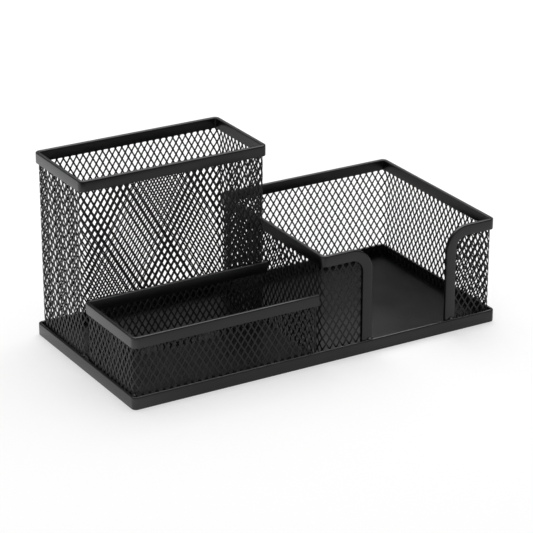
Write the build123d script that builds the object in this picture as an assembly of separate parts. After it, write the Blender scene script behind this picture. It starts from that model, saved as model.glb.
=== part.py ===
from build123d import *
import math
import os

# A black mesh desk organizer: a pressed steel tray that carries three expanded-metal compartments,
# a pen cup at the back left, a clip tray in front of it and a memo box with a front cut-out on the right.
# The origin is the centre of the underside. X runs along the tray, Y to the back and Z up. Millimetres.

# Base tray: one steel sheet whose edge is folded up and hemmed
base_length = 205.0
base_width = 103.0
base_inner_radius = 0.9
sheet_thickness = 0.8
hem_height = 6.6
hem_thickness = 1.6
hem_edge_chamfer = 0.5
base_edge_chamfer = 0.5

# Compartments: heights above the table, and plan sizes over the rims
pen_cup_top = 96.8
clip_tray_top = 36.3
memo_box_top = 55.4
pen_cup_depth = 50.7
memo_box_length = 101.0

# Rim: a channel folded over the raw edge of the mesh
rim_height = 5.6
rim_leg = 0.65
rim_web = 1.0
rim_edge_radius = 0.7
rim_inner_radius = 0.5

# Memo box front: the rim turns down on both sides of the opening
cutout_width = 43.4
cutout_corner_radius = 12.0

# Expanded metal: slit and stretched sheet, drawn about two and a half times coarser than the real one
mesh_thickness = 0.8
mesh_pitch_wide = 10.4
mesh_pitch_tall = 16.4
strand_width = 2.2
mesh_border = 1.2
mesh_tuck = 0.6

# Clearances: mesh to hem, mesh to rim, clip tray rail to pen cup mesh, memo box rim to pen cup mesh,
# clip tray ends to memo box mesh
hem_clearance = 0.1
rim_clearance = 0.25
rail_clearance = 0.3
memo_clearance = 1.0
tray_clearance = 2.3

# Places that several pieces share
rim_overhang = rim_leg + rim_clearance
rim_width = mesh_thickness + 2 * rim_overhang
mesh_inset = hem_thickness + hem_clearance
mesh_x = base_length / 2 - mesh_inset
mesh_y = base_width / 2 - mesh_inset
bend_inner = rim_inner_radius + rim_overhang
bend_middle = bend_inner + mesh_thickness / 2
bend_outer = bend_inner + mesh_thickness
half_bend_angle = math.radians(45)
half_bend = 2 * bend_middle * math.sin(half_bend_angle / 2)
half_bend_slope = math.cos(half_bend_angle / 2)

# Plan of each compartment over the outer faces of its mesh: x0, y0, x1, y1
memo_x0 = mesh_x - (memo_box_length - 2 * rim_overhang)
pen_y0 = mesh_y - (pen_cup_depth - 2 * rim_overhang)
memo_plan = (memo_x0, -mesh_y, mesh_x, mesh_y)
pen_plan = (-mesh_x, pen_y0, memo_x0 - rim_overhang - memo_clearance, mesh_y)
tray_plan = (-mesh_x, -mesh_y, memo_x0 - tray_clearance, pen_y0 - rim_overhang - rail_clearance)
cutout_left = (memo_x0 + mesh_x - cutout_width) / 2
cutout_right = cutout_left + cutout_width

FRONT, RIGHT, BACK, LEFT = (0, -1, 0), (1, 0, 0), (0, 1, 0), (-1, 0, 0)


def strip_outline(length, start_bend, end_bend):
    """Plan of a wall along X, outer face on y = 0, each bent end with half of its corner as a flat."""
    start = bend_outer if start_bend else 0
    end = length - bend_outer if end_bend else length
    outer = [(start, 0), (end, 0)]
    inner = [(start, mesh_thickness), (end, mesh_thickness)]
    mitre = math.cos(half_bend_angle)
    if start_bend:
        outer.insert(0, (start - bend_outer * mitre, bend_outer - bend_outer * mitre))
        inner.insert(0, (start - bend_inner * mitre, bend_outer - bend_inner * mitre))
    if end_bend:
        outer.append((end + bend_outer * mitre, bend_outer - bend_outer * mitre))
        inner.append((end + bend_inner * mitre, bend_outer - bend_inner * mitre))
    return Polygon(*outer, *reversed(inner))


def net_gaps(length, start_bend, end_bend, net_start, net_end, net_low, net_high):
    """Diamond gaps of a wall along X, as prisms through it, whole diamonds across each bend."""
    flat_start = bend_outer if start_bend else net_start
    flat_end = length - bend_outer if end_bend else net_end
    first = flat_start - half_bend if start_bend else net_start
    last = flat_end + half_bend if end_bend else net_end
    columns = max(1, round((last - first) / mesh_pitch_wide))
    rows = max(2, round((net_high - net_low) / (mesh_pitch_tall / 2)))
    half_wide = (last - first) / columns / 2
    half_tall = (net_high - net_low) / rows
    strand_offset = strand_width / 2 * math.hypot(half_wide, half_tall) / (half_wide * half_tall)
    open_wide = half_wide * (1 - strand_offset)
    open_tall = half_tall * (1 - strand_offset)

    def across(run):
        """Place along X of a point that lies this far along the developed strip."""
        if run < flat_start and start_bend:
            return flat_start - (flat_start - run) * half_bend_slope
        if run > flat_end and end_bend:
            return flat_end + (run - flat_end) * half_bend_slope
        return min(max(run, net_start), net_end)

    prisms = []
    for row in range(rows + 1):
        z = net_low + row * half_tall
        shift = row % 2
        for column in range(columns + shift):
            run = first + (2 * column + 1 - shift) * half_wide
            tips = [(run - open_wide, z), (run, z - open_tall), (run + open_wide, z), (run, z + open_tall)]
            points = [(across(x), min(max(y, net_low), net_high)) for x, y in tips]
            corners = [p for i, p in enumerate(points) if not on_line(points[i - 1], p, points[(i + 1) % 4])]
            prisms.append(extrude(Plane.XZ * Polygon(*corners), bend_outer, both=True))
    return prisms


def on_line(before, point, after):
    """True where a corner of an outline lies on the line between its neighbours."""
    one = (point[0] - before[0]) * (after[1] - before[1])
    other = (point[1] - before[1]) * (after[0] - before[0])
    return abs(one - other) < 1e-6


def mesh_wall(length, top, start_bend, end_bend, net_start=0.0, net_end=None):
    """One wall of expanded metal along X, standing on z = 0."""
    height = top - rim_web - sheet_thickness
    net_high = top - rim_height + mesh_tuck - sheet_thickness
    end = length if net_end is None else net_end
    wall = extrude(strip_outline(length, start_bend, end_bend), height)
    return wall - net_gaps(length, start_bend, end_bend, net_start, end, mesh_border, net_high)


def stand(wall, corner, outward):
    """Set a wall on the tray floor with its start at a corner and its outer face outwards."""
    along = Vector(0, 0, 1).cross(Vector(outward))
    return Plane((*corner, sheet_thickness), x_dir=along, z_dir=(0, 0, 1)).location * wall


def rim_section():
    """Channel section, free edge on y = 0 and open towards -y, each round corner drawn as two flats."""
    side = rim_width / 2
    shoulder = rim_edge_radius * (1 - math.sqrt(0.5))
    right = [
        (side, -rim_height),
        (side, -rim_edge_radius),
        (side - shoulder, -shoulder),
        (side - rim_edge_radius, 0),
    ]
    left = [(-x, y) for x, y in reversed(right)]
    slot_depth = rim_height - rim_web
    slot = Pos(0, -rim_web - slot_depth / 2) * Rectangle(mesh_thickness + 2 * rim_clearance, slot_depth)
    return Polygon(*right, *left) - slot


def rim_along(path, free_direction):
    """Channel along a path of lines and bends, its free edge towards free_direction where the path starts."""
    free = Vector(free_direction)
    lengths = []
    for edge in path.order_edges():
        tangent, end_tangent = edge % 0, edge % 1
        section = Plane(edge @ 0, x_dir=free.cross(tangent), z_dir=tangent) * rim_section()
        if edge.geom_type == GeomType.LINE:
            lengths.append(extrude(section, edge.length))
        else:
            hinge = Axis(edge.arc_center, tangent.cross(end_tangent))
            turn = tangent.get_angle(end_tangent)
            lengths.append(revolve(section, hinge, turn))
            free = free.rotate(Axis((0, 0, 0), hinge.direction), turn)
    return lengths[0] + lengths[1:]


def middle(plan):
    """Plan of the mesh's middle surface, from the plan over its outer faces."""
    inset = mesh_thickness / 2
    return plan[0] + inset, plan[1] + inset, plan[2] - inset, plan[3] - inset


def base_tray():
    """Pan with a flat floor and an upstanding hemmed edge."""
    outer_radius = base_inner_radius + hem_thickness
    outside = extrude(RectangleRounded(base_length, base_width, outer_radius), hem_height)
    inner_length = base_length - 2 * hem_thickness
    inner_width = base_width - 2 * hem_thickness
    well = extrude(RectangleRounded(inner_length, inner_width, base_inner_radius), hem_height)
    pan = outside - Pos(0, 0, sheet_thickness) * well
    pan = chamfer(pan.faces().sort_by(Axis.Z)[0].edges(), base_edge_chamfer)
    hem_top = pan.faces().filter_by(Axis.Z).sort_by(Axis.Z)[-1]
    return chamfer(hem_top.edges(), hem_edge_chamfer)


def pen_cup():
    """Four walls and a closed rim."""
    x0, y0, x1, y1 = pen_plan
    long_wall = mesh_wall(x1 - x0, pen_cup_top, True, True)
    short_wall = mesh_wall(y1 - y0, pen_cup_top, True, True)
    nodes["pen_cup_front_mesh"] = stand(long_wall, (x0, y0), FRONT)
    nodes["pen_cup_right_mesh"] = stand(short_wall, (x1, y0), RIGHT)
    nodes["pen_cup_back_mesh"] = stand(long_wall, (x1, y1), BACK)
    nodes["pen_cup_left_mesh"] = stand(short_wall, (x0, y1), LEFT)
    a0, b0, a1, b1 = middle(pen_plan)
    ring = Pos((a0 + a1) / 2, (b0 + b1) / 2, pen_cup_top) * RectangleRounded(a1 - a0, b1 - b0, bend_middle)
    nodes["pen_cup_rim"] = rim_along(ring.wire(), (0, 0, 1))


def clip_tray():
    """Two walls in front of the pen cup's wall, and an open rim whose back rail lies against that wall."""
    x0, y0, x1, y1 = tray_plan
    net_end = x1 - x0 - mesh_border
    front = mesh_wall(x1 - x0, clip_tray_top, True, False, net_end=net_end)
    side_end = y1 - bend_outer
    side = mesh_wall(side_end - y0, clip_tray_top, False, True, net_start=mesh_border)
    nodes["clip_tray_front_mesh"] = stand(front, (x0, y0), FRONT)
    nodes["clip_tray_left_mesh"] = stand(side, (x0, side_end), LEFT)
    a0, b0, _, b1 = middle(tray_plan)
    corners = [(x1, b0), (a0, b0), (a0, b1), (x1, b1)]
    path = FilletPolyline(*[(x, y, clip_tray_top) for x, y in corners], radius=bend_middle)
    nodes["clip_tray_rim"] = rim_along(path, (0, 0, 1))


def memo_box():
    """Three whole walls, two front stubs and a rim that turns down round the cut-out."""
    x0, y0, x1, y1 = memo_plan
    long_wall = mesh_wall(x1 - x0, memo_box_top, True, True)
    side_wall = mesh_wall(y1 - y0, memo_box_top, True, True)
    nodes["memo_box_right_mesh"] = stand(side_wall, (x1, y0), RIGHT)
    nodes["memo_box_back_mesh"] = stand(long_wall, (x1, y1), BACK)
    nodes["memo_box_left_mesh"] = stand(side_wall, (x0, y1), LEFT)
    stub = cutout_left - rim_web - x0
    band_cover = rim_height - rim_web - mesh_tuck
    left_stub = mesh_wall(stub, memo_box_top, True, False, net_end=stub - band_cover)
    right_stub = mesh_wall(stub, memo_box_top, False, True, net_start=band_cover)
    for name, wall, end, corner in (
        ("memo_box_front_left_mesh", left_stub, -1, (x0, y0)),
        ("memo_box_front_right_mesh", right_stub, 0, (cutout_right + rim_web, y0)),
    ):
        free_corner = wall.edges().filter_by(Axis.Y).group_by(Axis.Z)[-1].sort_by(Axis.X)[end]
        nodes[name] = stand(fillet(free_corner, cutout_corner_radius - rim_web), corner, FRONT)
    nodes["memo_box_rim"] = memo_rim()


def memo_rim():
    """Rim from the floor up one side of the cut-out, round three walls and down the other side."""
    a0, b0, a1, b1 = middle(memo_plan)
    corners = [
        (cutout_left, b0, sheet_thickness),
        (cutout_left, b0, memo_box_top),
        (a0, b0, memo_box_top),
        (a0, b1, memo_box_top),
        (a1, b1, memo_box_top),
        (a1, b0, memo_box_top),
        (cutout_right, b0, memo_box_top),
        (cutout_right, b0, sheet_thickness),
    ]
    bends = [cutout_corner_radius] + 4 * [bend_middle] + [cutout_corner_radius]
    rim = rim_along(FilletPolyline(*corners, radius=bends), RIGHT)
    hem_notch = Box(base_length, 2 * rim_overhang, hem_height, align=(Align.CENTER, Align.MAX, Align.MIN))
    return rim - Pos(0, memo_plan[1], 0) * hem_notch


nodes = {"base_tray": base_tray()}
pen_cup()
clip_tray()
memo_box()

os.makedirs("parts", exist_ok=True)
for name, solid in nodes.items():
    export_step(solid, f"parts/{name}.step")
    print(f"{name}: volume {solid.volume:.0f} mm3, {len(solid.faces())} faces, valid {solid.is_valid}")
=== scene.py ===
# %% [markdown]
# # A mesh desk organizer in black powder-coated steel
# The organizer is a pressed steel tray with three compartments of expanded metal on it: a pen cup, a clip tray and
# a memo box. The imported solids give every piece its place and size. This lesson rebuilds their surfaces finely: a
# tray with a rolled hem, channel rims with rounded edges, and a net with thousands of small diamonds, which the
# solids only show coarsely.

# %% Load the frame and note its box
import math

import bpy
from mathutils import Matrix, Vector


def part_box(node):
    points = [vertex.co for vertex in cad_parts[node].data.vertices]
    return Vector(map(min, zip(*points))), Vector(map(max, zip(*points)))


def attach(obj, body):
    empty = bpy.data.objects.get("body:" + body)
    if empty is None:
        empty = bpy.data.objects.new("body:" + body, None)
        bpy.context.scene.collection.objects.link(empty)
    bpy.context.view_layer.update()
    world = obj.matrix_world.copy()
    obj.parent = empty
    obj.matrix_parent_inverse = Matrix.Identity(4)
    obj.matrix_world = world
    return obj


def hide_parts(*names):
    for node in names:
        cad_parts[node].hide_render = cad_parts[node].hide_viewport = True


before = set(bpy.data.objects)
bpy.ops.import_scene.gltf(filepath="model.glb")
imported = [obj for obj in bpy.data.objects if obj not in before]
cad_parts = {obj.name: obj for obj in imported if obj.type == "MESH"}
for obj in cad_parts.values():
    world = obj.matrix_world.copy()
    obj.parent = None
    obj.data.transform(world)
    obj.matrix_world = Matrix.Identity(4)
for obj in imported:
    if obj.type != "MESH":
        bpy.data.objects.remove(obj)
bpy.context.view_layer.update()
MM = 0.001

# %% [markdown]
# ## Colours and nodes
# Colours are chosen as hex values, but a socket takes linear light, so one function turns one into the other.
# Nodes could be placed by hand in the shader editor. Here one function adds a node with its settings and links, so
# that a finish reads like a list of what it is made of.

# %% Colour and node helpers
def linear(hex_colour):
    """Turns an sRGB hex colour into the linear colour that a socket takes."""
    channels = [int(hex_colour[i:i + 2], 16) / 255 for i in (1, 3, 5)]
    return (*[c / 12.92 if c <= 0.04045 else ((c + 0.055) / 1.055) ** 2.4 for c in channels], 1.0)


def add_node(tree, kind, settings=None, links=None):
    """Adds one node, sets its inputs or properties, and links other sockets into it."""
    node = tree.nodes.new(kind)
    for name, value in (settings or {}).items():
        if isinstance(name, int) or name in node.inputs:
            node.inputs[name].default_value = value
        else:
            setattr(node, name, value)
    for name, socket in (links or {}).items():
        tree.links.new(socket, node.inputs[name])
    return node


def empty_material(name):
    """A material with no nodes but its output."""
    material = bpy.data.materials.new(name)
    material.use_nodes = True
    material.node_tree.nodes.clear()
    return material, material.node_tree, material.node_tree.nodes.new("ShaderNodeOutputMaterial")


print("middle grey as a socket takes it:", [round(c, 3) for c in linear("#808080")])

# %% [markdown]
# ## The finish
# Powder coat is sprayed on dry and baked, so it flows into a thin satin skin with a faint orange-peel wave. It is a
# dielectric: the black under it returns almost nothing, and what the eye sees is the pale room in its reflection,
# weak on faces that look at us and strong on faces seen at a slant. So the colour is nearly black, the IOR stays at
# a polyester paint's 1.58, and the looks come from roughness and a fine bump.

# %% Black powder coat
# Real size of each pattern: orange-peel waves about 0.9 mm apart, and patches of thicker coat about 14 mm across.
PEEL_WAVE = 0.9 * MM
PEEL_HEIGHT = 0.025 * MM
PATCH = 14 * MM
PAINT_IOR = 1.58
BLACK, PALE_BLACK = "#060607", "#09090a"
# The part of the patches' noise that colour and gloss follow from end to end.
COLOUR_RANGE = (0.35, 0.65)
GLOSS_RANGE = (0.3, 0.7)


def powder_coat(name, smooth, rough, shine):
    """Black powder coat on steel: satin, faintly wavy, a little uneven in gloss."""
    material, tree, output = empty_material(name)
    place = add_node(tree, "ShaderNodeTexCoord")
    patches = add_node(tree, "ShaderNodeTexNoise", {"Scale": 1 / PATCH, "Detail": 3.0, "Roughness": 0.55},
                       {"Vector": place.outputs["Object"]})
    peel = add_node(tree, "ShaderNodeTexNoise", {"Scale": 1 / PEEL_WAVE, "Detail": 1.5},
                    {"Vector": place.outputs["Object"]})
    colour = add_node(tree, "ShaderNodeValToRGB", links={"Fac": patches.outputs["Fac"]})
    for stop, position, shade in zip(colour.color_ramp.elements, COLOUR_RANGE, (BLACK, PALE_BLACK)):
        stop.position = position
        stop.color = linear(shade)
    gloss = add_node(tree, "ShaderNodeMapRange",
                     {"From Min": GLOSS_RANGE[0], "From Max": GLOSS_RANGE[1], "To Min": smooth, "To Max": rough},
                     {"Value": patches.outputs["Fac"]})
    wave = add_node(tree, "ShaderNodeBump", {"Strength": 0.5, "Distance": PEEL_HEIGHT},
                    {"Height": peel.outputs["Fac"]})
    coat = add_node(tree, "ShaderNodeBsdfPrincipled", {"IOR": PAINT_IOR, "Specular IOR Level": shine},
                    {"Base Color": colour.outputs["Color"], "Roughness": gloss.outputs["Result"],
                     "Normal": wave.outputs["Normal"]})
    tree.links.new(coat.outputs["BSDF"], output.inputs["Surface"])
    return material


# Slitting and pulling leaves the strands uneven, so their coat is rougher than the sheet's.
sheet_coat = powder_coat("black_powder_coat_on_sheet", smooth=0.29, rough=0.33, shine=0.5)
mesh_coat = powder_coat("black_powder_coat_on_expanded_metal", smooth=0.50, rough=0.58, shine=0.48)
print("finishes:", sheet_coat.name, mesh_coat.name)

# %% [markdown]
# ## Working by hand in edit mode
# Every piece below starts as a primitive and is shaped with the edit-mode tools. An operator acts on all that is
# selected, so each step first clears the selection and then picks vertices, edges or faces by their place. One small
# helper starts a piece as a plane, one picks by place, and one finishes a piece: it smooths it by angle, coats it
# and ties it to the solids that it stands for.

# %% Helpers for starting, selecting and finishing
SAME_PLACE = 1e-6  # a micrometre, in metres


def start_plane(name, centre, size_x, size_y):
    """Adds a plane of a real size and goes into edit mode with all of it selected."""
    bpy.ops.object.select_all(action="DESELECT")
    bpy.ops.mesh.primitive_plane_add(size=1, location=centre)
    piece = bpy.context.object
    piece.name = name
    piece.scale = (size_x, size_y, 1)
    bpy.ops.object.transform_apply(location=True, rotation=True, scale=True)
    bpy.ops.object.mode_set(mode="EDIT")
    bpy.ops.mesh.select_all(action="SELECT")
    return piece


def pick(piece, kind, test):
    """Selects the vertices, edges or faces whose middle passes a test, and nothing else."""
    bpy.ops.mesh.select_mode(type={"vertices": "VERT", "edges": "EDGE", "polygons": "FACE"}[kind])
    bpy.ops.mesh.select_all(action="DESELECT")
    bpy.ops.object.mode_set(mode="OBJECT")
    points = piece.data.vertices
    for part in getattr(piece.data, kind):
        corners = [part.co] if kind == "vertices" else [points[i].co for i in part.vertices]
        part.select = bool(test(sum(corners, Vector()) / len(corners)))
    bpy.ops.object.mode_set(mode="EDIT")


def finish_piece(piece, coat, nodes, smooth_angle=40):
    """Leaves edit mode, smooths, coats and ties a piece to the solids that it stands for."""
    bpy.ops.object.mode_set(mode="OBJECT")
    bpy.ops.object.select_all(action="DESELECT")
    piece.select_set(True)
    bpy.context.view_layer.objects.active = piece
    bpy.ops.object.shade_smooth_by_angle(angle=math.radians(smooth_angle))
    piece.data.materials.clear()
    piece.data.materials.append(coat)
    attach(piece, "root")
    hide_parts(*nodes)
    triangles = sum(len(face.vertices) - 2 for face in piece.data.polygons)
    print(f"{piece.name}: {triangles} triangles")


print("helpers ready")

# %% [markdown]
# ## The tray
# The tray is one sheet: a flat floor whose edge is folded up and rolled over into a hem about as thick as two
# sheets. A plane gets its corners rounded with a vertex bevel, is extruded to the height of the hem, and its top is
# inset by the hem's thickness and pushed down to the floor. A bevel then rounds the roll of the hem and the fold
# underneath, because those narrow rounds catch the light.

# %% Tray
base_low, base_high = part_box("base_tray")
base_size = base_high - base_low
HEM = 1.6 * MM
SHEET = 0.8 * MM
BASE_CORNER = 2.5 * MM
HEM_ROUND = 0.75 * MM
FOLD_ROUND = 0.5 * MM

tray = start_plane("tray_sheet", (0, 0, base_low.z), base_size.x, base_size.y)
bpy.ops.mesh.bevel(offset=BASE_CORNER, segments=6, affect="VERTICES")
bpy.ops.mesh.select_all(action="SELECT")
bpy.ops.mesh.extrude_region_move(TRANSFORM_OT_translate={"value": (0, 0, base_size.z)})
bpy.ops.mesh.inset(thickness=HEM)
bpy.ops.mesh.extrude_region_move(TRANSFORM_OT_translate={"value": (0, 0, SHEET - base_size.z)})
bpy.ops.mesh.select_all(action="SELECT")
bpy.ops.mesh.normals_make_consistent(inside=False)
pick(tray, "edges", lambda p: abs(p.z - base_high.z) < SAME_PLACE)
bpy.ops.mesh.bevel(offset=HEM_ROUND, segments=4, affect="EDGES")
pick(tray, "edges", lambda p: abs(p.z - base_low.z) < SAME_PLACE)
bpy.ops.mesh.bevel(offset=FOLD_ROUND, segments=2, affect="EDGES")
print("tray", [round(v / MM, 1) for v in base_size], "mm")

# %% [markdown]
# The compartments are spot welded to the tray. Four beads of weld show under the paint: one at each foot of the memo
# box's rim, and two at the corners of the net on the left. One bead is a small ball pressed long and flat, with its
# top pulled back against the wall. The others are copies, and the two on the left are turned to run along their hem.

# %% Weld beads
BEAD = 3.0 * MM
BEAD_PRESS = (1.0, 0.44, 0.6)
BEAD_LEAN = 0.2 * MM
BEAD_TOP = BEAD / 8  # the bead leans from this far above its middle
QUARTER = math.radians(90)
front_beads = [Vector((x, -50.8, 6.7)) * MM for x in (28.4, 76.6)]
left_beads = [Vector((-100.9, y, 6.6)) * MM for y in (3.4, -48.8)]

first = front_beads[0]
bpy.ops.mesh.select_all(action="DESELECT")
bpy.ops.mesh.primitive_uv_sphere_add(segments=14, ring_count=8, radius=BEAD / 2, location=first)
bpy.ops.transform.resize(value=BEAD_PRESS, center_override=first)
pick(tray, "vertices", lambda p: (p - first).length < BEAD and p.z > first.z + BEAD_TOP)
bpy.ops.transform.translate(value=(0, BEAD_LEAN, 0))
pick(tray, "vertices", lambda p: (p - first).length < BEAD)
for last, bead in zip(front_beads + left_beads, front_beads[1:] + left_beads):
    bpy.ops.mesh.duplicate_move(TRANSFORM_OT_translate={"value": bead - last})
    if bead is left_beads[0]:
        bpy.ops.transform.rotate(value=QUARTER, orient_axis="Z", center_override=bead)
print("beads:", len(front_beads + left_beads))
finish_piece(tray, sheet_coat, ["base_tray"])

# %% [markdown]
# ## The rims
# Each compartment's raw mesh edge is covered by a channel: a narrow strip folded over it, with a rounded back. A
# shop would roll it straight and bend it round the corners, and the model is made the same way. The section is
# drawn once, extruded along each straight and spun round each bend. Spin turns against the right-hand rule here, so
# the angle is negative. The solids' channel is a little wider, to leave room for their coarse net. The drawn channel
# keeps to its middle line.

# %% Rim section
pen_low, pen_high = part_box("pen_cup_rim")
RIM_WIDTH = 2.1 * MM
RIM_HEIGHT = pen_high.z - pen_low.z
RIM_WEB = 1.0 * MM
RIM_SLOT = 1.1 * MM
RIM_ROUND = 0.65 * MM
RIM_FOOT = 0.3 * MM


def rim_section(name, point, along, free):
    """Draws the channel's section at a point of its back, across the direction it will run."""
    across = free.cross(along)
    middle = point - free * RIM_HEIGHT / 2
    rim = start_plane(name, (0, 0, 0), RIM_WIDTH, RIM_HEIGHT)
    pick(rim, "vertices", lambda p: p.y > 0)
    bpy.ops.mesh.bevel(offset=RIM_ROUND, segments=5, affect="VERTICES")
    pick(rim, "vertices", lambda p: p.y < -RIM_HEIGHT / 2 + SAME_PLACE)
    bpy.ops.mesh.bevel(offset=RIM_FOOT, segments=2, affect="VERTICES")
    for edge in (-RIM_SLOT / 2, RIM_SLOT / 2):
        bpy.ops.mesh.select_all(action="SELECT")
        bpy.ops.mesh.bisect(plane_co=(edge, 0, 0), plane_no=(1, 0, 0))
    bpy.ops.mesh.select_all(action="SELECT")
    bpy.ops.mesh.bisect(plane_co=(0, RIM_HEIGHT / 2 - RIM_WEB, 0), plane_no=(0, 1, 0))
    pick(rim, "polygons", lambda p: abs(p.x) < RIM_SLOT / 2 and p.y < RIM_HEIGHT / 2 - RIM_WEB)
    bpy.ops.mesh.delete(type="FACE")
    bpy.ops.object.mode_set(mode="OBJECT")
    rim.matrix_world = Matrix.Translation(middle) @ Matrix((across, free, along)).transposed().to_4x4()
    bpy.ops.object.transform_apply(location=True, rotation=True, scale=True)
    bpy.ops.object.mode_set(mode="EDIT")
    bpy.ops.mesh.select_mode(type="FACE")
    bpy.ops.mesh.select_all(action="SELECT")
    return rim


print("rim", round(RIM_WIDTH / MM, 2), "mm wide and", round(RIM_HEIGHT / MM, 2), "mm high")

# %% Straights, bends and the joint
RIM_BEND = 1.8 * MM


def run(move):
    """Extrudes the end of the channel along a straight."""
    bpy.ops.mesh.extrude_region_move(TRANSFORM_OT_translate={"value": move})


def bend(centre, axis):
    """Spins the end of the channel a quarter turn round a bend."""
    bpy.ops.mesh.spin(steps=8, angle=-QUARTER, center=centre, axis=axis)


def close_rim(rim, joint=None):
    """Turns all faces outwards, and joins a ring's two ends at its starting plane."""
    if joint is not None:
        pick(rim, "polygons", joint)
        bpy.ops.mesh.delete(type="ONLY_FACE")
        bpy.ops.mesh.select_all(action="SELECT")
        bpy.ops.mesh.remove_doubles(threshold=SAME_PLACE)
    bpy.ops.mesh.select_all(action="SELECT")
    bpy.ops.mesh.normals_make_consistent(inside=False)


print("rims bend round corners of", round(RIM_BEND / MM, 1), "mm")

# %% [markdown]
# The pen cup's channel goes all the way round. It starts in the middle of the front wall and comes back to its own
# start. There the two end faces are deleted and their points merged, as a maker welds the joint and grinds it flush.

# %% Pen cup rim
CHANNEL_HALF = 1.3 * MM  # half the width of the solids' channel
UP = Vector((0, 0, 1))
x0, y0 = pen_low.x + CHANNEL_HALF, pen_low.y + CHANNEL_HALF
x1, y1 = pen_high.x - CHANNEL_HALF, pen_high.y - CHANNEL_HALF
top = pen_high.z
start_x = (x0 + x1) / 2
pen_rim = rim_section("pen_cup_channel", Vector((start_x, y0, top)), Vector((1, 0, 0)), UP)
run((x1 - RIM_BEND - start_x, 0, 0))
bend((x1 - RIM_BEND, y0 + RIM_BEND, top), UP)
run((0, y1 - y0 - 2 * RIM_BEND, 0))
bend((x1 - RIM_BEND, y1 - RIM_BEND, top), UP)
run((x0 - x1 + 2 * RIM_BEND, 0, 0))
bend((x0 + RIM_BEND, y1 - RIM_BEND, top), UP)
run((0, y0 - y1 + 2 * RIM_BEND, 0))
bend((x0 + RIM_BEND, y0 + RIM_BEND, top), UP)
run((start_x - x0 - RIM_BEND, 0, 0))
close_rim(pen_rim, lambda p: abs(p.x - start_x) < SAME_PLACE and p.y < y0 + RIM_BEND)
finish_piece(pen_rim, sheet_coat, ["pen_cup_rim"])

# %% [markdown]
# The clip tray's channel has three sides. It starts at the memo box, runs along the pen cup's wall, bends round the
# left wall and comes back along the front. Both ends butt against the memo box, so they stay plain cuts.

# %% Clip tray rim
clip_low, clip_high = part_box("clip_tray_rim")
x0, y0 = clip_low.x + CHANNEL_HALF, clip_low.y + CHANNEL_HALF
x1, y1 = clip_high.x, clip_high.y - CHANNEL_HALF
top = clip_high.z
clip_rim = rim_section("clip_tray_channel", Vector((x1, y1, top)), Vector((-1, 0, 0)), UP)
run((x0 + RIM_BEND - x1, 0, 0))
bend((x0 + RIM_BEND, y1 - RIM_BEND, top), UP)
run((0, y0 - y1 + 2 * RIM_BEND, 0))
bend((x0 + RIM_BEND, y0 + RIM_BEND, top), UP)
run((x1 - x0 - RIM_BEND, 0, 0))
close_rim(clip_rim)
finish_piece(clip_rim, sheet_coat, ["clip_tray_rim"])

# %% [markdown]
# The memo box's rim is one long channel. It starts on the hem beside the cut-out, climbs, turns over a wide bend,
# goes round the box and comes down on the hem again on the other side.

# %% Memo box rim
memo_low, memo_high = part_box("memo_box_rim")
CUTOUT_BEND = 12.0 * MM
cut_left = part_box("memo_box_front_left_mesh")[1].x + RIM_WEB
cut_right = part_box("memo_box_front_right_mesh")[0].x - RIM_WEB
x0, y0 = memo_low.x + CHANNEL_HALF, memo_low.y + CHANNEL_HALF
x1, y1 = memo_high.x - CHANNEL_HALF, memo_high.y - CHANNEL_HALF
top, foot = memo_high.z, memo_low.z
ACROSS = Vector((0, 1, 0))
memo_rim = rim_section("memo_box_channel", Vector((cut_left, y0, foot)), UP, Vector((1, 0, 0)))
run((0, 0, top - CUTOUT_BEND - foot))
bend((cut_left - CUTOUT_BEND, y0, top - CUTOUT_BEND), -ACROSS)
run((x0 + RIM_BEND - cut_left + CUTOUT_BEND, 0, 0))
bend((x0 + RIM_BEND, y0 + RIM_BEND, top), -UP)
run((0, y1 - y0 - 2 * RIM_BEND, 0))
bend((x0 + RIM_BEND, y1 - RIM_BEND, top), -UP)
run((x1 - x0 - 2 * RIM_BEND, 0, 0))
bend((x1 - RIM_BEND, y1 - RIM_BEND, top), -UP)
run((0, y0 - y1 + 2 * RIM_BEND, 0))
bend((x1 - RIM_BEND, y0 + RIM_BEND, top), -UP)
run((cut_right + CUTOUT_BEND - x1 + RIM_BEND, 0, 0))
bend((cut_right + CUTOUT_BEND, y0, top - CUTOUT_BEND), -ACROSS)
run((0, 0, foot - top + CUTOUT_BEND))
close_rim(memo_rim)
finish_piece(memo_rim, sheet_coat, ["memo_box_rim"])

# %% [markdown]
# ## The expanded metal
# Expanded metal is slit and pulled open, so its strands run on through every crossing and lie a little slanted in
# the sheet. One diamond is modelled: a rounded hole in a rhombus, its hole turned a few degrees about the upright
# so that the strands slant. Two of them make the repeat. Arrays fill a flat strip as long as the compartment's
# outline, Solidify gives it thickness, and a Curve modifier wraps it round the corners, as the real strip is bent.

# %% One diamond of the net
NET_TALL = 6.03 * MM
STRAND = 0.78 * MM
STRAND_SLANT = math.radians(4)
HOLE_BULGE = 1.04
HALFWAY = math.sqrt(0.5)  # moves a corner of the eight-sided start onto the rhombus's side
INSIDE = 0.95  # of the way from the middle of the rhombus to its side


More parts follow.
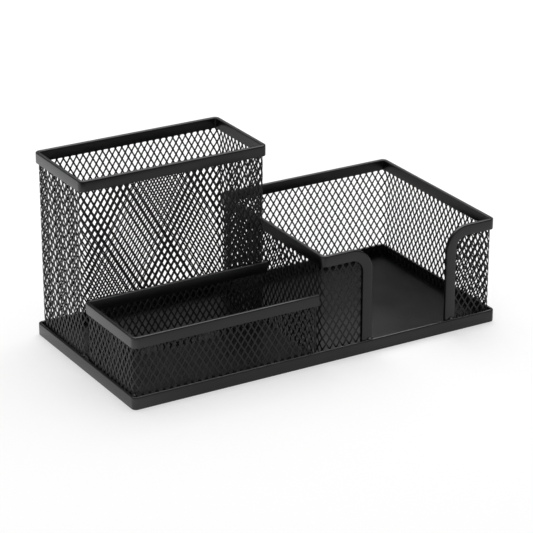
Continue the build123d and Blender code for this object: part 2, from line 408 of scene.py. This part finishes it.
def net_repeat(name, wide):
    """The net's repeat: two rhombic cells, half a pitch apart both ways, on the X-Z plane."""
    bpy.ops.object.select_all(action="DESELECT")
    bpy.ops.mesh.primitive_circle_add(vertices=8, radius=1, fill_type="NGON", rotation=(QUARTER, 0, 0))
    cell = bpy.context.object
    cell.name = name
    bpy.ops.object.transform_apply(location=True, rotation=True, scale=True)
    bpy.ops.object.mode_set(mode="EDIT")
    bpy.ops.mesh.select_all(action="SELECT")
    bpy.ops.transform.resize(value=(wide / 2, 1, NET_TALL / 2), center_override=(0, 0, 0))
    # The four corners between the tips come onto the sides, which makes the rhombus.
    pick(cell, "vertices", lambda p: abs(p.x) > wide / 8 and abs(p.z) > NET_TALL / 8)
    bpy.ops.transform.resize(value=(HALFWAY, 1, HALFWAY), center_override=(0, 0, 0))
    bpy.ops.mesh.select_mode(type="FACE")
    bpy.ops.mesh.select_all(action="SELECT")
    bpy.ops.mesh.inset(thickness=STRAND / 2)
    bpy.ops.mesh.delete(type="ONLY_FACE")

    def on_hole(p):
        return abs(p.x) / (wide / 2) + abs(p.z) / (NET_TALL / 2) < INSIDE

    # The hole's sides bulge a little, and then the whole hole is turned.
    pick(cell, "vertices", lambda p: on_hole(p) and abs(p.x) > wide / 10 and abs(p.z) > NET_TALL / 10)
    bpy.ops.transform.resize(value=(HOLE_BULGE, 1, HOLE_BULGE), center_override=(0, 0, 0))
    pick(cell, "vertices", on_hole)
    bpy.ops.transform.rotate(value=STRAND_SLANT, orient_axis="Z", center_override=(0, 0, 0))
    bpy.ops.mesh.select_all(action="SELECT")
    bpy.ops.mesh.duplicate_move(TRANSFORM_OT_translate={"value": (wide / 2, 0, NET_TALL / 2)})
    bpy.ops.object.mode_set(mode="OBJECT")
    return cell


print("diamonds", round(NET_TALL / MM, 2), "mm tall, strands", round(STRAND / MM, 2), "mm wide")

# %% [markdown]
# The real strip is cut to length flat and bent round the compartment. The model's path is a rounded rectangle on the
# middle surface of the solids' walls. It starts on the left wall, where the bend to the front wall begins.

# %% Path round a compartment
NET_BEND = 3.2 * MM
WALL_HALF = 0.4 * MM  # half the thickness of the solids' walls


def wall_outline(left, front, right, back):
    """Low and high corner of the net's middle surface, from the boxes of four walls."""
    middle = Vector((WALL_HALF, WALL_HALF, 0))
    low = Vector((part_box(left)[0].x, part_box(front)[0].y, 0)) + middle
    high = Vector((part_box(right)[1].x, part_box(back)[1].y, 0)) - middle
    return low, high


def outline_path(low, high):
    """A closed path round an outline with rounded corners: along the front, then right, back and left."""
    centre = ((low.x + high.x) / 2, (low.y + high.y) / 2, 0)
    start_plane("path", centre, high.x - low.x, high.y - low.y)
    bpy.ops.mesh.bevel(offset=NET_BEND, segments=8, affect="VERTICES")
    bpy.ops.mesh.select_all(action="SELECT")
    bpy.ops.mesh.delete(type="ONLY_FACE")
    bpy.ops.object.mode_set(mode="OBJECT")
    path = bpy.context.object
    length = sum((path.data.vertices[a].co - path.data.vertices[b].co).length
                 for a, b in (edge.vertices for edge in path.data.edges))
    bpy.ops.object.convert(target="CURVE")
    return bpy.context.object, length


print("paths bend round corners of", round(NET_BEND / MM, 1), "mm")

# %% [markdown]
# A strip is cut by hand, a hair off the diamonds' direction, so its rows climb by a millimetre or so on their way
# round. For each strip the pitch, the place of one hole and the climb are read off the photograph, because the
# pattern that two nets make where they overlap shows every tenth of a millimetre.

# %% Modifiers and cuts
def apply_modifier(piece, kind, **settings):
    """Adds a modifier with its settings and applies it."""
    modifier = piece.modifiers.new(kind.lower(), kind)
    for name, value in settings.items():
        setattr(modifier, name, value)
    bpy.ops.object.select_all(action="DESELECT")
    piece.select_set(True)
    bpy.context.view_layer.objects.active = piece
    bpy.ops.object.modifier_apply(modifier=modifier.name)


def trim(place, direction):
    """Cuts the net in two at a plane and keeps the side that the direction points away from."""
    bpy.ops.mesh.select_all(action="SELECT")
    bpy.ops.mesh.bisect(plane_co=place, plane_no=direction, clear_outer=True)


print("modifiers are applied as soon as they are set")

# %% A flat strip and its bends
MERGE = 0.02 * MM  # points of neighbouring diamonds that lie closer than this become one
STRAND_THICK = 0.29 * MM


def net_strip(name, wide, hole, climb, start, end, net_top):
    """A flat strip of net on the X-Z plane, cut to length and height, with one hole's centre at a known place."""
    net = net_repeat(name, wide)
    before = math.ceil((hole[0] - start) / wide) + 1
    below = math.ceil((hole[1] - SHEET) / NET_TALL) + 1
    columns = before + math.ceil((end - hole[0]) / wide) + 1
    rows = below + math.ceil((net_top - hole[1]) / NET_TALL) + 1
    for count, offset in ((columns, (wide, 0, 0)), (rows, (0, 0, NET_TALL))):
        apply_modifier(net, "ARRAY", count=count, use_relative_offset=False, use_constant_offset=True,
                       constant_offset_displace=offset)
    bpy.ops.object.mode_set(mode="EDIT")
    bpy.ops.mesh.select_all(action="SELECT")
    bpy.ops.mesh.remove_doubles(threshold=MERGE)
    bpy.ops.transform.translate(value=(hole[0] - before * wide, 0, hole[1] - below * NET_TALL))
    bpy.ops.transform.rotate(value=climb, orient_axis="Y", center_override=(hole[0], 0, hole[1]))
    trim((0, 0, SHEET), (0, 0, -1))
    trim((0, 0, net_top), (0, 0, 1))
    trim((start, 0, 0), (-1, 0, 0))
    trim((end, 0, 0), (1, 0, 0))
    print(f"{name}: {columns} columns by {rows} rows, strip {(end - start) / MM:.1f} mm long")
    return net


def wrap(net, path):
    """Gives the strip its thickness and bends it round the path."""
    bpy.ops.object.mode_set(mode="OBJECT")
    apply_modifier(net, "SOLIDIFY", thickness=STRAND_THICK, offset=0.0)
    apply_modifier(net, "CURVE", object=path, deform_axis="POS_X")
    bpy.data.objects.remove(path)
    bpy.ops.object.mode_set(mode="EDIT")
    bpy.ops.mesh.select_all(action="SELECT")
    bpy.ops.mesh.remove_doubles(threshold=MERGE)


print("strands", round(STRAND_THICK / MM, 2), "mm thick")

# %% [markdown]
# The pen cup's strip goes all the way round, and its two ends meet in a butt seam. The seam is put at the far end of
# the left-hand wall, at the corner with the back, where a maker would hide it too.

# %% Pen cup net, flat
pen_walls = ["pen_cup_left_mesh", "pen_cup_front_mesh", "pen_cup_right_mesh", "pen_cup_back_mesh"]
low, high = wall_outline(*pen_walls)
path, length = outline_path(low, high)
side = high.y - low.y - 2 * NET_BEND
front = length / 2 - side
seam = length - side
PEN_PITCH, PEN_CLIMB = 3.5627 * MM, math.radians(0.274)
PEN_HOLE_X, PEN_HOLE_Z = 47.19 * MM, 62.386 * MM
COVER = RIM_HEIGHT - 2 * RIM_WEB  # how far each strip reaches up into its rim
PULL = 0.017  # how far the front wall's diamonds lean, as a share of the height
pen_hole = (PEN_HOLE_X + PULL * (pen_high.z - PEN_HOLE_Z), PEN_HOLE_Z)
pen_net = net_strip("pen_cup_net", PEN_PITCH, pen_hole, PEN_CLIMB,
                    seam - length, seam, pen_high.z - RIM_HEIGHT + COVER)

# %% [markdown]
# On the photographed cup the diamonds of the front wall lean a degree to the right, as if the strip had been pulled
# askew while it was bent. A vertex group says how far each point is pulled along the strip: on the front wall more
# and more towards the foot, on the back wall by one amount, and on the sides in between. A Displace modifier does it.

# %% Pen cup net, pulled askew and bent
NET_SMOOTH = 70  # degrees: the bends shade smoothly, and the strands' square edges stay sharp
bpy.ops.object.mode_set(mode="OBJECT")
pulled = pen_net.vertex_groups.new(name="pulled")
even_pull = 1 - PEN_HOLE_Z / pen_high.z
for point in pen_net.data.vertices:
    on_front = min(max(1 - max(-point.co.x, point.co.x - front) / side, 0), 1)
    askew_pull = 1 - point.co.z / pen_high.z
    pulled.add([point.index], even_pull + on_front * (askew_pull - even_pull), "REPLACE")
apply_modifier(pen_net, "DISPLACE", direction="X", strength=-PULL * pen_high.z, mid_level=0,
               vertex_group="pulled")
pen_net.vertex_groups.clear()
wrap(pen_net, path)
finish_piece(pen_net, mesh_coat, pen_walls, NET_SMOOTH)

# %% [markdown]
# The clip tray's strip is shaped like an L: a left wall and a front wall, bent round one corner. The pen cup's wall
# closes its back and the memo box its right side. An unslit edge runs up its right-hand end. The path is made longer
# than both walls, so that neither end of the strip reaches its next bend.

# %% Clip tray net
clip_walls = ["clip_tray_left_mesh", "clip_tray_front_mesh"]
CLIP_PITCH, CLIP_CLIMB = 3.79 * MM, math.radians(0.42)
CLIP_HOLE = (52.92 * MM, 19.25 * MM)
END_GAP = 1.2 * MM  # the strip ends short of the memo box's wall
OVERRUN = 20 * MM
low = wall_outline(*clip_walls, *clip_walls)[0]  # the low corner needs these two walls alone
side_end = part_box("clip_tray_left_mesh")[1].y
front_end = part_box("clip_tray_front_mesh")[1].x - END_GAP
path = outline_path(low, Vector((front_end + OVERRUN, side_end + OVERRUN, 0)))[0]
clip_start = low.y + NET_BEND - side_end
clip_end = front_end - low.x - NET_BEND + QUARTER * NET_BEND
clip_net_top = clip_high.z - RIM_HEIGHT + COVER
clip_net = net_strip("clip_tray_net", CLIP_PITCH, CLIP_HOLE, CLIP_CLIMB,
                     clip_start, clip_end - STRAND, clip_net_top)
edge_middle = (clip_end - STRAND / 2, 0, (clip_net_top + SHEET) / 2)
bpy.ops.mesh.primitive_plane_add(size=STRAND, rotation=(QUARTER, 0, 0), location=edge_middle)
bpy.ops.transform.resize(value=(1, 1, (clip_net_top - SHEET) / STRAND), center_override=edge_middle)
wrap(clip_net, path)
finish_piece(clip_net, mesh_coat, clip_walls, NET_SMOOTH)

# %% [markdown]
# The memo box's strip starts and ends in the cut-out. After wrapping, the faces inside the cut-out are picked by
# their place and deleted, a little inside the channel, so that the cut strands end where the rim hides them.

# %% Memo box net
memo_walls = ["memo_box_left_mesh", "memo_box_front_left_mesh", "memo_box_right_mesh", "memo_box_back_mesh"]
MEMO_PITCH, MEMO_CLIMB = 3.776 * MM, math.radians(0.73)
MEMO_HOLE = (158.25 * MM, 33.14 * MM)
HIDDEN = RIM_HEIGHT / 2
low, high = wall_outline(*memo_walls)
path, length = outline_path(low, high)
seam = (cut_left + cut_right) / 2 - low.x - NET_BEND + QUARTER * NET_BEND
memo_net = net_strip("memo_box_net", MEMO_PITCH, MEMO_HOLE, MEMO_CLIMB,
                     seam, seam + length, memo_high.z - RIM_HEIGHT + COVER)
wrap(memo_net, path)


def in_cutout(p):
    """True for a point of the front wall that lies in the cut-out or less than HIDDEN under its rim."""
    if p.y > memo_low.y + CHANNEL_HALF + RIM_BEND:
        return False
    if cut_left - HIDDEN < p.x < cut_right + HIDDEN:
        return True
    beyond = max(cut_left - p.x, p.x - cut_right) - CUTOUT_BEND
    above = p.z - (memo_high.z - CUTOUT_BEND)
    return beyond < 0 < above and math.hypot(beyond, above) > CUTOUT_BEND - HIDDEN


pick(memo_net, "polygons", in_cutout)
bpy.ops.mesh.delete(type="FACE")
finish_piece(memo_net, mesh_coat, memo_walls + ["memo_box_front_right_mesh"], NET_SMOOTH)

# %% [markdown]
# ## The table
# The organizer stands on a white table in front of white, and the table keeps its soft shadow. Black satin paint
# shows what it mirrors, and there the table carries painted light and shade in its colour and glow: brightest on
# the far left, plain beside and behind the object, and on the photographer's side painted darker, as a table that
# falls off into a darker room. Only mirrored rays see these steps, so the table stays white to the eye.

# %% The table as mirrored rays see it
# Painted light and shade: how bright the table's colour and glow are in the paint,
# on the far left, elsewhere, and towards the photographer.
LEFT_BRIGHT, PLAIN, NEAR_DARK = 1.08, 0.63, 0.05
LEFT_FROM, LEFT_TO = -130 * MM, -55 * MM
NEAR_SIDE = (-0.508, -0.861, 0)
NEAR_FROM, NEAR_TO = 150 * MM, 250 * MM


def sort_rays(tree):
    """The node that tells rays apart, and a node that gives 1 for a mirrored or transmitted ray."""
    rays = add_node(tree, "ShaderNodeLightPath")
    return rays, add_node(tree, "ShaderNodeMath", {"operation": "MAXIMUM"},
                          {0: rays.outputs["Is Glossy Ray"], 1: rays.outputs["Is Transmission Ray"]})


floor_coat, tree, output = empty_material("white_table")
rays, mirrored = sort_rays(tree)
place = add_node(tree, "ShaderNodeTexCoord")
axes = add_node(tree, "ShaderNodeSeparateXYZ", links={"Vector": place.outputs["Object"]})
leftward = add_node(tree, "ShaderNodeMapRange",
                    {"interpolation_type": "SMOOTHSTEP", "From Min": LEFT_FROM, "From Max": LEFT_TO,
                     "To Min": LEFT_BRIGHT, "To Max": PLAIN}, {"Value": axes.outputs["X"]})
nearness = add_node(tree, "ShaderNodeVectorMath", {"operation": "DOT_PRODUCT", 1: NEAR_SIDE},
                    {0: place.outputs["Object"]})
nearward = add_node(tree, "ShaderNodeMapRange",
                    {"From Min": NEAR_FROM, "From Max": NEAR_TO, "To Min": 1.0, "To Max": NEAR_DARK},
                    {"Value": nearness.outputs["Value"]})
falloff = add_node(tree, "ShaderNodeMath", {"operation": "MULTIPLY"},
                   {0: leftward.outputs["Result"], 1: nearward.outputs["Result"]})
# Only mirrored rays get the painted light and shade; every other ray gets 1.
level = add_node(tree, "ShaderNodeMix", {"A": 1.0},
                 {"Factor": mirrored.outputs[0], "B": falloff.outputs[0]})
print("brightness in the paint:", LEFT_BRIGHT, "left,", PLAIN, "plain,", NEAR_DARK, "of that at the near side")

# %% [markdown]
# To lamp and sky the table is plain matt white. To the camera and in the paint it is a little darker with a glow of
# its own, as an overexposed studio table is: the glow lifts it to white, and the shadow stays soft and pale.

# %% Table paint
TABLE_SEEN, TABLE_LIT = "#c4c4c4", "#d8d8d8"
TABLE_LIFT = 0.47
seen = add_node(tree, "ShaderNodeMath", {"operation": "MAXIMUM"},
                {0: mirrored.outputs[0], 1: rays.outputs["Is Camera Ray"]})
grey = add_node(tree, "ShaderNodeMix",
                {"data_type": "RGBA", "blend_type": "MULTIPLY", 0: 1.0, 6: linear(TABLE_SEEN)},
                {7: level.outputs["Result"]})
matt = add_node(tree, "ShaderNodeBsdfDiffuse", {"Color": linear(TABLE_LIT)})
shade = add_node(tree, "ShaderNodeBsdfDiffuse", links={"Color": grey.outputs[2]})
lift = add_node(tree, "ShaderNodeMath", {"operation": "MULTIPLY", 1: TABLE_LIFT}, {0: level.outputs["Result"]})
glow = add_node(tree, "ShaderNodeEmission", {"Color": (1, 1, 1, 1)}, {"Strength": lift.outputs[0]})
lifted = add_node(tree, "ShaderNodeAddShader", links={0: shade.outputs[0], 1: glow.outputs[0]})
table = add_node(tree, "ShaderNodeMixShader",
                 links={0: seen.outputs[0], 1: matt.outputs[0], 2: lifted.outputs[0]})
tree.links.new(table.outputs[0], output.inputs["Surface"])
print("table paint:", len(tree.nodes), "nodes")

# %% Table top
TABLE_SIZE = 8
TABLE_DROP = 0.02 * MM  # keeps the table clear of the tray's underside
bpy.ops.object.select_all(action="DESELECT")
bpy.ops.mesh.primitive_plane_add(size=TABLE_SIZE, location=(0, 0, -TABLE_DROP))
floor_plane = bpy.context.object
floor_plane.name = "table_top"
floor_plane.data.materials.append(floor_coat)
print("table", TABLE_SIZE, "m square")

# %% [markdown]
# ## The room
# The room is white to the eye. In the paint it is dim near the horizon, as a studio is behind its lamps, and bright
# overhead, where a white ceiling gives the rims and the hem their thin light lines.

# %% Sky
SKY_LIGHT, SKY_MIRRORED, CEILING, SKY_WHITE = 0.6, 0.13, 1.6, 1.0
CEILING_FROM, CEILING_TO = 0.65, 0.92
sky = bpy.data.worlds.new("white_room")
bpy.context.scene.world = sky
sky.use_nodes = True
tree = sky.node_tree
tree.nodes.clear()
rays, mirrored = sort_rays(tree)
direction = add_node(tree, "ShaderNodeTexCoord")
upward = add_node(tree, "ShaderNodeSeparateXYZ", links={"Vector": direction.outputs["Generated"]})
ceiling = add_node(tree, "ShaderNodeMapRange",
                   {"interpolation_type": "SMOOTHSTEP", "From Min": CEILING_FROM, "From Max": CEILING_TO,
                    "To Min": SKY_MIRRORED, "To Max": CEILING}, {"Value": upward.outputs["Z"]})
level = add_node(tree, "ShaderNodeMix", {"A": SKY_LIGHT},
                 {"Factor": mirrored.outputs[0], "B": ceiling.outputs["Result"]})
seen = add_node(tree, "ShaderNodeMix", {"B": SKY_WHITE},
                {"Factor": rays.outputs["Is Camera Ray"], "A": level.outputs["Result"]})
backdrop = add_node(tree, "ShaderNodeBackground", {"Color": (1, 1, 1, 1)}, {"Strength": seen.outputs["Result"]})
add_node(tree, "ShaderNodeOutputWorld", links={"Surface": backdrop.outputs[0]})
bpy.context.scene.view_settings.view_transform = "Standard"
print("sky:", len(tree.nodes), "nodes")

# %% [markdown]
# ## The lamp
# One large softbox hangs over the back of the table, to the right. It draws the soft shadow on the table's left and
# front, and its blurred mirror image lifts the tray's floor out of black.

# %% Softbox
SOFTBOX_PLACE, SOFTBOX_AIM = Vector((0.36, 0.58, 1.2)), Vector((0, 0, 0.03))
lamp = bpy.data.lights.new("overhead_softbox", "AREA")
lamp.shape = "RECTANGLE"
lamp.size, lamp.size_y, lamp.energy = 1.4, 1.2, 12.0
softbox = bpy.data.objects.new(lamp.name, lamp)
bpy.context.scene.collection.objects.link(softbox)
softbox.location = SOFTBOX_PLACE
softbox.rotation_euler = (SOFTBOX_AIM - SOFTBOX_PLACE).to_track_quat("-Z", "Y").to_euler()
print(f"softbox {lamp.size:.1f} by {lamp.size_y:.1f} m")

# %% [markdown]
# ## The camera
# The camera was fitted to the photograph by the edges of rims and tray: 31 degrees round to the left, 22.5 degrees
# up, 1.24 m away, with a long lens. The lens is shifted a little, because the photograph's middle is not quite where
# the lens looks.

# %% Camera
AZIMUTH, ELEVATION, DISTANCE = math.radians(-30.518), math.radians(22.502), 1.241287
TARGET = Vector((0, 0, 0.035))
FRAME_PIXELS, FOCAL_PIXELS = 533, 2504.905
PRINCIPAL = (267.385, 262.654)
SENSOR_MM = 36
away = Vector((math.sin(AZIMUTH) * math.cos(ELEVATION), -math.cos(AZIMUTH) * math.cos(ELEVATION),
               math.sin(ELEVATION)))
lens = bpy.data.cameras.new("camera")
lens.sensor_width = SENSOR_MM
lens.lens = FOCAL_PIXELS / FRAME_PIXELS * SENSOR_MM
lens.shift_x = (FRAME_PIXELS / 2 - PRINCIPAL[0]) / FRAME_PIXELS
lens.shift_y = (PRINCIPAL[1] - FRAME_PIXELS / 2) / FRAME_PIXELS
lens.clip_start, lens.clip_end = 0.01, 20
camera = bpy.data.objects.new("camera", lens)
bpy.context.scene.collection.objects.link(camera)
camera.location = TARGET + away * DISTANCE
camera.rotation_euler = (-away).to_track_quat("-Z", "Y").to_euler()
bpy.context.scene.camera = camera
print("lens", round(lens.lens, 1), "mm")
